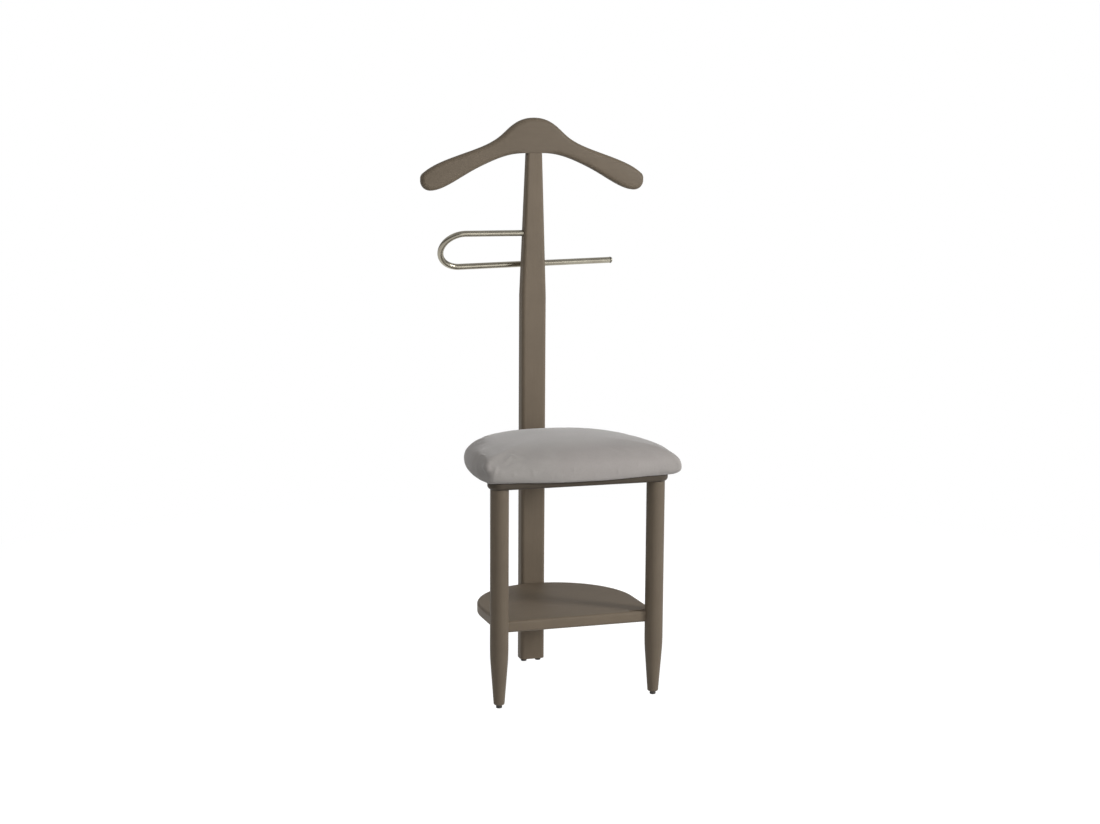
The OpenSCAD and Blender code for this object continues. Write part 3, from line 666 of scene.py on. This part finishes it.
STAPLE_W, STAPLE_WIRE, STAPLE_GAP = 10.0, 1.1, 19.0
STAPLE_INSET, STAPLE_SUNK = 51.5, 0.25
RAIL_BACK = 30          # no staples over the rail, in front of this depth
CLEAT_HALF, CLEAT_FRONT = 56, 218       # nor at the cleat, behind the second depth
LINE_STEPS = 4


def staple_line():
    """The line of the staples below the seat, open over the rail and at the cleat."""
    line, runs = pad_outline(STAPLE_INSET), [[]]
    closed = np.vstack([line, line[:1]])
    for a, b in zip(closed[:-1], closed[1:]):
        for t in np.linspace(0, 1, LINE_STEPS + 1)[:-1]:
            p = a + (b - a) * t
            if p[1] > RAIL_BACK and not (abs(p[0]) < CLEAT_HALF and p[1] > CLEAT_FRONT):
                runs[-1].append(p)
            elif runs[-1]:
                runs.append([])
    return [run for run in runs if len(run) > 1]


def add_staples(material):
    """Flat staples at even steps along the dust cloth's edge."""
    points, edges = [], []
    for run in staple_line():
        first = len(points)
        points += [mm(x, y, SEAT_Z - STAPLE_SUNK) for x, y in run]
        edges += [(i, i + 1) for i in range(first, len(points) - 1)]
    mesh = bpy.data.meshes.new("staple_line")
    mesh.from_pydata(points, edges, [])
    rule = Rule("staples_along_line", {"Gap": 0.019, "Width": 0.01, "Wire": 0.0011})
    line = rule.node("GeometryNodeMeshToCurve", {}, {0: "Geometry"})
    stops = rule.node(
        "GeometryNodeCurveToPoints", {"mode": "LENGTH"}, {"Curve": line, "Length": "Gap"}
    ).node.outputs
    size = rule.node("ShaderNodeCombineXYZ", {}, {"X": "Wire", "Y": "Wire", "Z": "Width"})
    wire = rule.node("GeometryNodeMeshCube", {}, {
        "Size": size, "Vertices X": 2, "Vertices Y": 2, "Vertices Z": 4,
    })
    flat = rule.node("ShaderNodeCombineXYZ", {}, {"X": 0.5, "Y": 1.0, "Z": 1.0})
    wire = rule.node("GeometryNodeTransform", {}, {"Geometry": wire, "Scale": flat})
    put = rule.node("GeometryNodeInstanceOnPoints", {}, {
        "Points": stops["Points"], "Instance": wire, "Rotation": stops["Rotation"],
    })
    rule.close(put, material)
    staples = rule.piece("staples", base=mesh, Gap=STAPLE_GAP / 1000,
                         Width=STAPLE_W / 1000, Wire=STAPLE_WIRE / 1000)
    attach(staples, "frame")


# ---------- Cushion ----------

PAD_W, PAD_FRONT, PAD_CORNER = 401.4, 35.0, 8.0
PAD_BACK = POST_FRONT - 0.3             # just clear of the post
PAD_MID = (PAD_BACK - PAD_FRONT) / 2    # depth towards which the rings shrink
PAD_BOW = 6.0                           # how far the front's middle stands before its corners
PAD_POWER, CROWN_POWER = 2.72, 2.65     # 2 is an ellipse, more is fuller
PAD_SIDE_H, PAD_CROWN_H = 12.5, 51.8    # from the underside to the widest level, and above it
CROWN_END = 88.5                        # degrees; the crown's last ring is small but open
SIDE_RISE, RISE_FROM, RISE_OVER = 9.4, -20, 60      # the widest level climbs behind the front
PAD_DRAW_IN, FRONT_DRAW_SHARE = 23.7, 0.14          # at the underside, less along the front
# The fold that tucks in the left front corner, and the fuller left shoulder behind it.
TUCK, TUCK_AT, TUCK_REACH = 19.8, (-PAD_W / 2, 8 - PAD_FRONT, 446.0), (30, 36, 15)
FILL, FILL_AT, FILL_REACH, FILL_LIFT = 6.5, (-181, 35, 480), (17, 75, 13), 0.5
BACK_STEPS, CORNER_STEPS, FRONT_STEPS, SIDE_STEPS, CROWN_STEPS = 60, 8, 40, 8, 24
HEM_INSET, HEM_T = 44.0, 1.3
LIP, LIP_HALF, LIP_H = 2.6, 150, 7      # how the front's lower edge sags over the rail
LIP_FROM, LIP_OVER = -24.5, 5           # depth at which the sag starts, and grows full
# The cloth, in metres: remeshing, blowing up and holding to the stuffed form.
START_INSET = 1.0       # millimetres inside the form from which the cover is blown up
VOXEL = 0.005
HEM_REACH = 0.002       # points less than this above the underside are stapled
PRESSURE, CAP, FRAMES = 4.0, 0.012, 20
# Share kept of what stands off the form, before and after the finer mesh, and its most.
KEPT, HELD, STRAY = 0.45, 0.60, 0.0030
FOLD_END, FOLD_FADE = 0.02, 0.7         # how a fold fades towards both of its ends


def powered(value, power):
    """A sine or cosine, bent to the corner of a fuller ellipse."""
    return math.copysign(abs(value) ** (2 / power), value)


def pad_outline(inset):
    """The cushion's outline, seen from above, with every side moved in by inset."""
    half, front = PAD_W / 2 - inset, inset - PAD_FRONT
    start = front + PAD_BOW + PAD_CORNER
    depth = PAD_BACK - inset - start
    corner_x, turn = half - PAD_CORNER, 90 / CORNER_STEPS
    points = []
    for i in range(BACK_STEPS + 1):
        a = math.pi * i / BACK_STEPS
        points.append(np.array([
            half * powered(math.cos(a), PAD_POWER), start + depth * powered(math.sin(a), PAD_POWER)
        ]))
    points += list(arc((-corner_x, start), PAD_CORNER, 180 + turn, 270, CORNER_STEPS - 1))
    for i in range(FRONT_STEPS + 1):
        u = 2 * i / FRONT_STEPS - 1
        points.append(np.array([u * corner_x, front + PAD_BOW * u * u]))
    points += list(arc((corner_x, start), PAD_CORNER, 270 + turn, 360, CORNER_STEPS - 1))
    return np.array(points)


def bell(ring, centre, reach):
    """How near a ring's points are to a place: 1 there, fading along each axis by its reach."""
    return np.exp(-sum((ring[:, k] - centre[k]) ** 2 / reach[k] ** 2 for k in range(3)))


def pad_rings(inset):
    """The stuffed form's rings: sides drawn in towards the underside, a full crown above."""
    middle = np.array([0, PAD_MID])
    outline = pad_outline(inset)
    back = np.clip((outline[:, 1] - RISE_FROM) / RISE_OVER, 0, 1)
    wide = SEAT_Z + PAD_SIDE_H + eased(back, SIDE_RISE)
    top = SEAT_Z + PAD_SIDE_H + PAD_CROWN_H - inset
    u = outline[:, 0] / (PAD_W / 2 - PAD_CORNER)
    share = np.where(outline[:, 1] > 0, 1,
                     np.minimum(1, FRONT_DRAW_SHARE + (1 - FRONT_DRAW_SHARE) * u * u))
    v = outline - middle
    rings = []
    for i in range(SIDE_STEPS, 0, -1):
        a = math.pi / 2 * i / SIDE_STEPS
        reach = PAD_DRAW_IN * (1 - math.cos(a)) * share / np.linalg.norm(v, axis=1)
        q = v * (1 - reach[:, None]) + middle
        rings.append(np.column_stack([q, wide - (wide - SEAT_Z) * math.sin(a)]))
    for i in range(CROWN_STEPS + 1):
        a = math.radians(CROWN_END) * i / CROWN_STEPS
        q = v * powered(math.cos(a), CROWN_POWER) + middle
        rings.append(np.column_stack([q, wide + (top - wide) * powered(math.sin(a), CROWN_POWER)]))
    for ring in rings:
        tuck, fill = bell(ring, TUCK_AT, TUCK_REACH), bell(ring, FILL_AT, FILL_REACH)
        ring[:, 0] += TUCK * tuck - FILL * fill
        ring[:, 2] += FILL * FILL_LIFT * fill
    return [[mm(*p) for p in ring] for ring in rings]


def coordinates(mesh):
    """A mesh's points, as an array with a row for each."""
    co = np.empty(len(mesh.vertices) * 3)
    mesh.vertices.foreach_get("co", co)
    return co.reshape(-1, 3)


def store(mesh, co):
    """Puts an array of points back into a mesh."""
    mesh.vertices.foreach_set("co", np.asarray(co, float).ravel())
    mesh.update()


def apply_modifiers(piece):
    """Makes what the modifiers give the piece's own mesh, and removes them."""
    graph = bpy.context.evaluated_depsgraph_get()
    mesh = bpy.data.meshes.new_from_object(piece.evaluated_get(graph), depsgraph=graph)
    piece.modifiers.clear()
    piece.data = mesh


def inflate(piece):
    """Blows the cover up against its stapled hem, as the foam inside does."""
    rest = coordinates(piece.data)
    hem = piece.vertex_groups.new(name="stapled")
    low = rest[:, 2].min()
    stapled = [i for i, p in enumerate(rest) if p[2] < low + HEM_REACH]
    hem.add(stapled, 1.0, "REPLACE")
    cloth = piece.modifiers.new("cloth", "CLOTH")
    settings = cloth.settings
    settings.quality = 6
    settings.mass = 0.25
    settings.tension_stiffness = settings.compression_stiffness = 12
    settings.shear_stiffness = 4
    settings.bending_stiffness = 0.6
    settings.use_pressure = True
    settings.uniform_pressure_force = PRESSURE
    settings.effector_weights.gravity = 0
    settings.vertex_group_mass = "stapled"
    cloth.collision_settings.use_collision = False
    cloth.point_cache.frame_start, cloth.point_cache.frame_end = 1, FRAMES
    scene = bpy.context.scene
    for number in range(1, FRAMES + 1):
        scene.frame_set(number)
    graph = bpy.context.evaluated_depsgraph_get()
    blown = coordinates(piece.evaluated_get(graph).to_mesh())
    piece.modifiers.clear()
    scene.frame_set(1)
    move = blown - rest
    length = np.linalg.norm(move, axis=1)[:, None]
    soft = CAP * np.tanh(length / CAP)
    store(piece.data, rest + move * soft / np.maximum(length, 1e-9))


def hold_to(co, form, share, most):
    """Draws points towards a closed form, and keeps a share of what they stand off it."""
    tree = BVHTree.FromPolygons([Vector(p) for p in form[0]], form[1])
    out = np.empty_like(co)
    for i, p in enumerate(co):
        near, normal, _, _ = tree.find_nearest(Vector(p))
        off = (Vector(p) - near).dot(normal) * share
        out[i] = near + normal * (most * math.tanh(off / most))
    return out


def inside(outline, x, y):
    """Which of the points lie inside a closed outline."""
    within = np.zeros(len(x), bool)
    for (x1, y1), (x2, y2) in zip(outline, np.roll(outline, -1, axis=0)):
        crosses = (y1 > y) != (y2 > y)
        if y1 != y2:
            within ^= crosses & (x < (x2 - x1) * (y - y1) / (y2 - y1) + x1)
    return within


def fold(points, path, width, depth):
    """How far a soft fold along a path sinks or lifts each point, fading to both ends."""
    path = np.array([mm(*p) for p in path])
    total = np.linalg.norm(np.diff(path, axis=0), axis=1).sum()
    best = np.full(len(points), 1e9)
    along = np.zeros(len(points))
    done = 0.0
    for a, b in zip(path[:-1], path[1:]):
        d = b - a
        length = np.linalg.norm(d)
        t = np.clip((points - a) @ d / length ** 2, 0, 1)
        distance = np.linalg.norm(points - a - t[:, None] * d, axis=1)
        nearer = distance < best
        best = np.where(nearer, distance, best)
        along = np.where(nearer, (done + t * length) / total, along)
        done += length
    fade = np.sin(np.pi * np.clip(along, FOLD_END, 1 - FOLD_END)) ** FOLD_FADE
    return depth / 1000 * np.exp(-(best * 1000 / width) ** 2) * fade


# The cover's soft folds: a path over the front or a side, its width and its height.
FOLDS = [
    ([(-150, -18, 471), (-142, -10, 477), (-132, -2, 482), (-126, -9, 478), (-114, -12, 477)],
     3.2, 1.7),
    ([(-150, -23, 467), (-136, -18, 473), (-123, -17, 474)], 3.2, -1.1),
    ([(-185, 29, 482), (-182, 19, 483), (-180, 11, 482)], 3.0, 1.2),
    ([(-184, -16, 474), (-176, -18, 473)], 3.0, 1.2),
    ([(-178, -22, 468), (-174, -26, 461)], 3.0, -0.9),
    ([(-167, -22, 467), (-170, -26, 461), (-174, -28, 452)], 3.0, 1.2),
    ([(-162, -26, 461), (-158, -29, 453)], 3.0, 1.1),
    ([(-137, -30, 456), (-136, -31, 446)], 3.0, 1.1),
    ([(-100, -30, 460), (-99, -32, 445)], 3.0, 1.0),
    ([(-60, -34, 438), (-57, -33, 448)], 3.2, -0.7),
    ([(-20, -31, 462), (-22, -33, 450)], 3.0, 1.0),
    ([(20, -35, 436), (23, -34, 445)], 3.2, 0.7),
    ([(66, -33, 453), (68, -33, 440)], 3.0, 0.9),
    ([(107, -28, 463), (108, -30, 455)], 3.0, 0.8),
    ([(150, -30, 437), (152, -29, 447)], 3.2, -0.7),
    ([(190, -8, 437), (198, -2, 446), (200, 4, 453)], 3.5, 0.9),
    ([(190, 60, 437), (198, 64, 446)], 3.0, -0.7),
    ([(180, 130, 437), (187, 127, 446)], 3.0, 0.7),
    ([(-190, 45, 437), (-198, 48, 446), (-200, 45, 454)], 3.2, 0.9),
    ([(-183, 112, 437), (-191, 108, 446)], 3.0, -0.7),
    ([(-163, 178, 437), (-170, 184, 447)], 3.2, 0.7),
]


def stuffed_form(material):
    """The points and faces of the stuffed form that the cover is held to."""
    target = piece_from("cushion_form", *skinned(pad_rings(0)), material)
    outward(target)
    form = ([tuple(v.co) for v in target.data.vertices],
            [tuple(f.vertices) for f in target.data.polygons])
    bpy.data.objects.remove(target)
    return form


def seated(co):
    """The cover's points, with a flat underside, a sagging front edge and an open hem."""
    co = co * 1000 + (0, MIDDLE_Y, 0)
    co[:, 2] = np.maximum(co[:, 2], SEAT_Z)
    co[:, 1] = np.minimum(co[:, 1], PAD_BACK)
    # The lower edge of the front sags a little over the rail, most in the middle.
    lip = LIP * np.clip(1 - (co[:, 0] / LIP_HALF) ** 2, 0, 1)
    lip *= np.exp(-((co[:, 2] - SEAT_Z) / LIP_H) ** 2)
    lip *= np.clip((LIP_FROM - co[:, 1]) / LIP_OVER, 0, 1)
    co[:, 2] -= lip
    # Inside the stapled hem the underside lies higher, so the dust cloth shows.
    open_part = inside(pad_outline(HEM_INSET), co[:, 0], co[:, 1]) & (co[:, 2] < SEAT_Z + 1)
    co[open_part, 2] = SEAT_Z + HEM_T
    return (co - (0, MIDDLE_Y, 0)) / 1000


def add_cushion(material):
    """The stuffed cover: blown up as cloth, held to its form, then seated and creased."""
    cushion = piece_from("cushion", *skinned(pad_rings(START_INSET)), material)
    outward(cushion)
    remesh = cushion.modifiers.new("voxels", "REMESH")
    remesh.mode = "VOXEL"
    remesh.voxel_size = VOXEL
    apply_modifiers(cushion)
    inflate(cushion)
    form = stuffed_form(material)
    store(cushion.data, hold_to(coordinates(cushion.data), form, KEPT, STRAY))
    finer = cushion.modifiers.new("finer", "SUBSURF")
    finer.levels = finer.render_levels = 1
    apply_modifiers(cushion)
    mesh = cushion.data
    mesh.materials.clear()
    mesh.materials.append(material)
    shade_smooth(mesh)
    co = seated(hold_to(coordinates(mesh), form, HELD, STRAY))
    store(mesh, co)
    normals = np.empty(len(mesh.vertices) * 3)
    mesh.vertices.foreach_get("normal", normals)
    lift = sum(fold(co, path, width, depth) for path, width, depth in FOLDS)
    store(mesh, co + normals.reshape(-1, 3) * lift[:, None])
    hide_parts("seat_cover", "seat_foam")
    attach(cushion, "frame")


# ---------- Stage and light ----------

FLOOR_HALF = 12
FLOOR_Z = -0.0081       # just below the pads when all feet are screwed out
FADE_FROM, FADE_TO = 0.7, 1.9           # distances over which the floor turns white
AMBIENT = 0.15
CENTRE = Vector((0, 0, 0.5))
# The lamps' names, azimuths, elevations, distances, sizes and powers, and whether metal shows
# them. Azimuth 0 is in front, and 90 at the right.
LAMPS = [
    ("key", 49, 18, 3.3, 0.8, 81, True),
    ("front", 8, 10, 3.6, 1.8, 24, True),
    ("high", -25, 55, 3.4, 1.6, 22, False),
    ("left", -80, 25, 3.3, 1.6, 11, False),
    ("back", -150, 32, 3.4, 1.8, 19, False),
    ("rear", 162, 7, 3.4, 1.8, 42, False),
]


def grey(value):
    """A grey in the shader's linear values."""
    return value, value, value, 1


def add_floor():
    """A pale floor, white far away, that keeps the object's faint shadow near it."""
    mesh = bpy.data.meshes.new("floor")
    corners = [(-FLOOR_HALF, -FLOOR_HALF), (FLOOR_HALF, -FLOOR_HALF),
               (FLOOR_HALF, FLOOR_HALF), (-FLOOR_HALF, FLOOR_HALF)]
    mesh.from_pydata([(x, y, FLOOR_Z) for x, y in corners], [], [(0, 1, 2, 3)])
    floor = bpy.data.objects.new("floor", mesh)
    bpy.context.scene.collection.objects.link(floor)
    material, start, place = new_finish("pale_floor")
    ray = start.node("ShaderNodeLightPath", output="Is Camera Ray")
    shown = (ray + ray.other("Is Glossy Ray") + ray.other("Is Transmission Ray")).clamp(0, 1)
    distance = start.node(
        "ShaderNodeVectorMath", {"operation": "LENGTH"}, {0: place}, output="Value"
    )
    far = distance.step(FADE_FROM, FADE_TO)
    matte = start.node("ShaderNodeBsdfDiffuse", {}, {"Color": grey(0.30)})
    glow = start.node("ShaderNodeEmission", {}, {"Color": grey(1), "Strength": 0.90})
    near = start.node("ShaderNodeAddShader", {}, {0: matte, 1: glow})
    white = start.node("ShaderNodeEmission", {}, {"Color": grey(1), "Strength": 1.0})
    display = start.node("ShaderNodeMixShader", {}, {0: far, 1: near, 2: white})
    plain = start.node("ShaderNodeBsdfDiffuse", {}, {"Color": grey(0.62)})
    surface = start.node("ShaderNodeMixShader", {}, {0: shown, 1: plain, 2: display})
    start.node("ShaderNodeOutputMaterial", {}, {"Surface": surface})
    mesh.materials.append(material)


def add_world():
    """White to the camera. Metal shows a pale backdrop and ceiling in a dimmer studio."""
    world = bpy.data.worlds.new("studio")
    bpy.context.scene.world = world
    world.use_nodes = True
    world.node_tree.nodes.clear()
    start = Signal(world.node_tree)
    ray = start.node("ShaderNodeLightPath", output="Is Camera Ray")
    seen = (ray + ray.other("Is Transmission Ray")).clamp(0, 1)
    direction = start.node("ShaderNodeTexCoord", output="Generated")
    depth = start.node("ShaderNodeSeparateXYZ", {}, {0: direction}, output="Y")
    backdrop = depth.step(-0.25, 0.35, 0.10, 0.34)
    ceiling = depth.other("Z").step(0.25, 0.65, 0.0, 0.45)
    mirrored = (backdrop + ceiling).clamp(0, 1)

    def light(strength):
        return start.node("ShaderNodeBackground", {}, {"Color": grey(1), "Strength": strength})

    studio = start.node("ShaderNodeMixShader", {}, {
        0: ray.other("Is Glossy Ray"), 1: light(AMBIENT), 2: light(mirrored),
    })
    surface = start.node("ShaderNodeMixShader", {}, {0: seen, 1: studio, 2: light(1.0)})
    start.node("ShaderNodeOutputWorld", {}, {"Surface": surface})


def add_lamp(name, azimuth, elevation, distance, size, power, mirrored):
    """A soft square lamp that looks at the object's middle."""
    data = bpy.data.lights.new(name, "AREA")
    data.shape = "SQUARE"
    data.size = size
    data.energy = power
    lamp = bpy.data.objects.new(name, data)
    lamp.visible_glossy = mirrored
    bpy.context.scene.collection.objects.link(lamp)
    a, e = math.radians(azimuth), math.radians(elevation)
    away = Vector((math.sin(a) * math.cos(e), -math.cos(a) * math.cos(e), math.sin(e)))
    lamp.location = CENTRE + away * distance
    lamp.rotation_mode = "QUATERNION"
    lamp.rotation_quaternion = away.to_track_quat("Z", "Y")


def main():
    """Sets the stage, gives every node its finish and adds the scene's own pieces."""
    bpy.context.scene.view_settings.view_transform = "Standard"
    add_camera()
    add_world()
    add_floor()
    for lamp in LAMPS:
        add_lamp(*lamp)

    nickel, suede = satin_nickel("satin_nickel"), grey_suede("grey_suede")
    steel = bright_steel("bright_steel", (196, 194, 190), 0.26)
    zinc = bright_steel("yellowed_zinc", (190, 184, 160), 0.38)
    by_slot = {
        "wood_taupe": taupe_lacquer("taupe_lacquer_level", LYING),
        "beech": bare_beech("bare_beech"),
        "nickel": nickel,
        "seat_fabric": suede,
        "foam": cut_foam("seat_foam_cells"),
        "dust_cloth": bonded_dust_cloth("black_dust_cloth"),
        "steel": steel,
        "zinc": zinc,
        "dark_plastic": dark_plastic("black_moulded_plastic"),
    }
    # The photograph shows the rail much darker than the post, and the legs a little. Both are
    # painted shade: the seat's shadow, darkened into their lacquer.
    painted_shade_legs = taupe_lacquer("taupe_lacquer_legs_painted_shade", STANDING, -0.07)
    dressed = {
        "post": taupe_lacquer("taupe_lacquer_upright", STANDING),
        "seat_rail": taupe_lacquer("taupe_lacquer_rail_painted_shade", LYING, -0.33),
        "left_leg": painted_shade_legs,
        "right_leg": painted_shade_legs,
    }
    for name, node in frame["nodes"].items():
        for i, old in enumerate(node.data.materials):
            made = by_slot[old.name.split(".")[0]]
            node.data.materials[i] = dressed.get(name, made)

    # Painted shade: the hanger's lacquer is made a little darker than the post's.
    add_hanger(taupe_lacquer("taupe_lacquer_hanger_painted_shade", LYING, -0.05))
    add_trouser_bar(nickel)
    add_threads(steel)
    add_staples(zinc)
    add_cushion(suede)


main()
